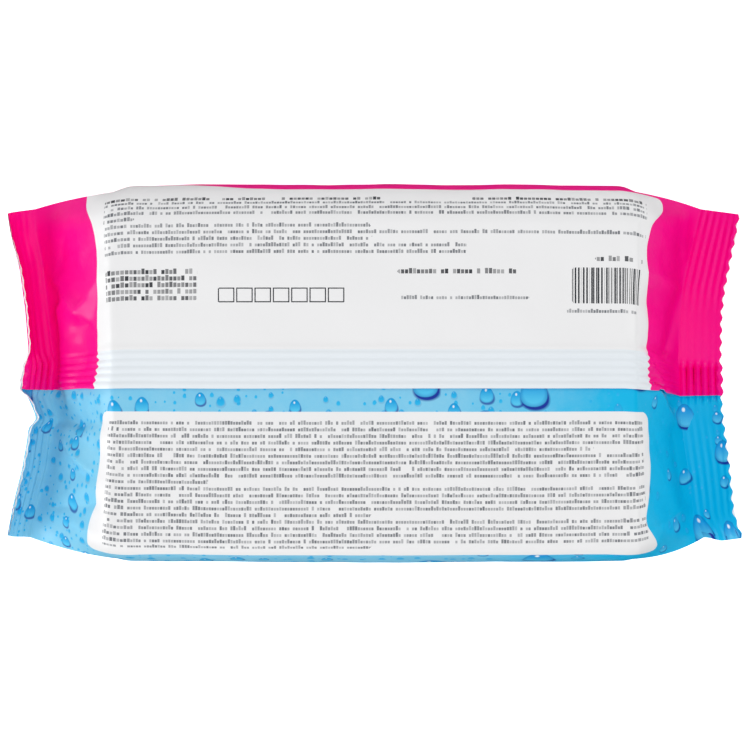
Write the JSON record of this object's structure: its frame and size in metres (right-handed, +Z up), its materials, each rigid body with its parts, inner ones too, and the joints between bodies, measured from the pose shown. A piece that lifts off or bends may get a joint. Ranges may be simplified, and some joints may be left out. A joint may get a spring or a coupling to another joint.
{
  "type": "wet wipes pack",
  "caption": "Full flow-wrapped pack of wet wipes lying on its front, with a folded back seam and crimped end seals in pink, white and water-blue film.",
  "frame": {"origin": "centre of the pack's footprint, on the surface that it lies on", "axes": "+X along the pack towards the end whose seal lies out flat, +Y towards the pink long side, +Z up out of the back face that carries the seam"},
  "size_m": [0.2182, 0.1136, 0.0569],
  "materials": {
    "film": "glossy printed packing film in hot pink, with white panels and a blue field of water drops"
  },
  "bodies": {
    "root": {"wipes_pack": "film"}
  },
  "joints": []
}
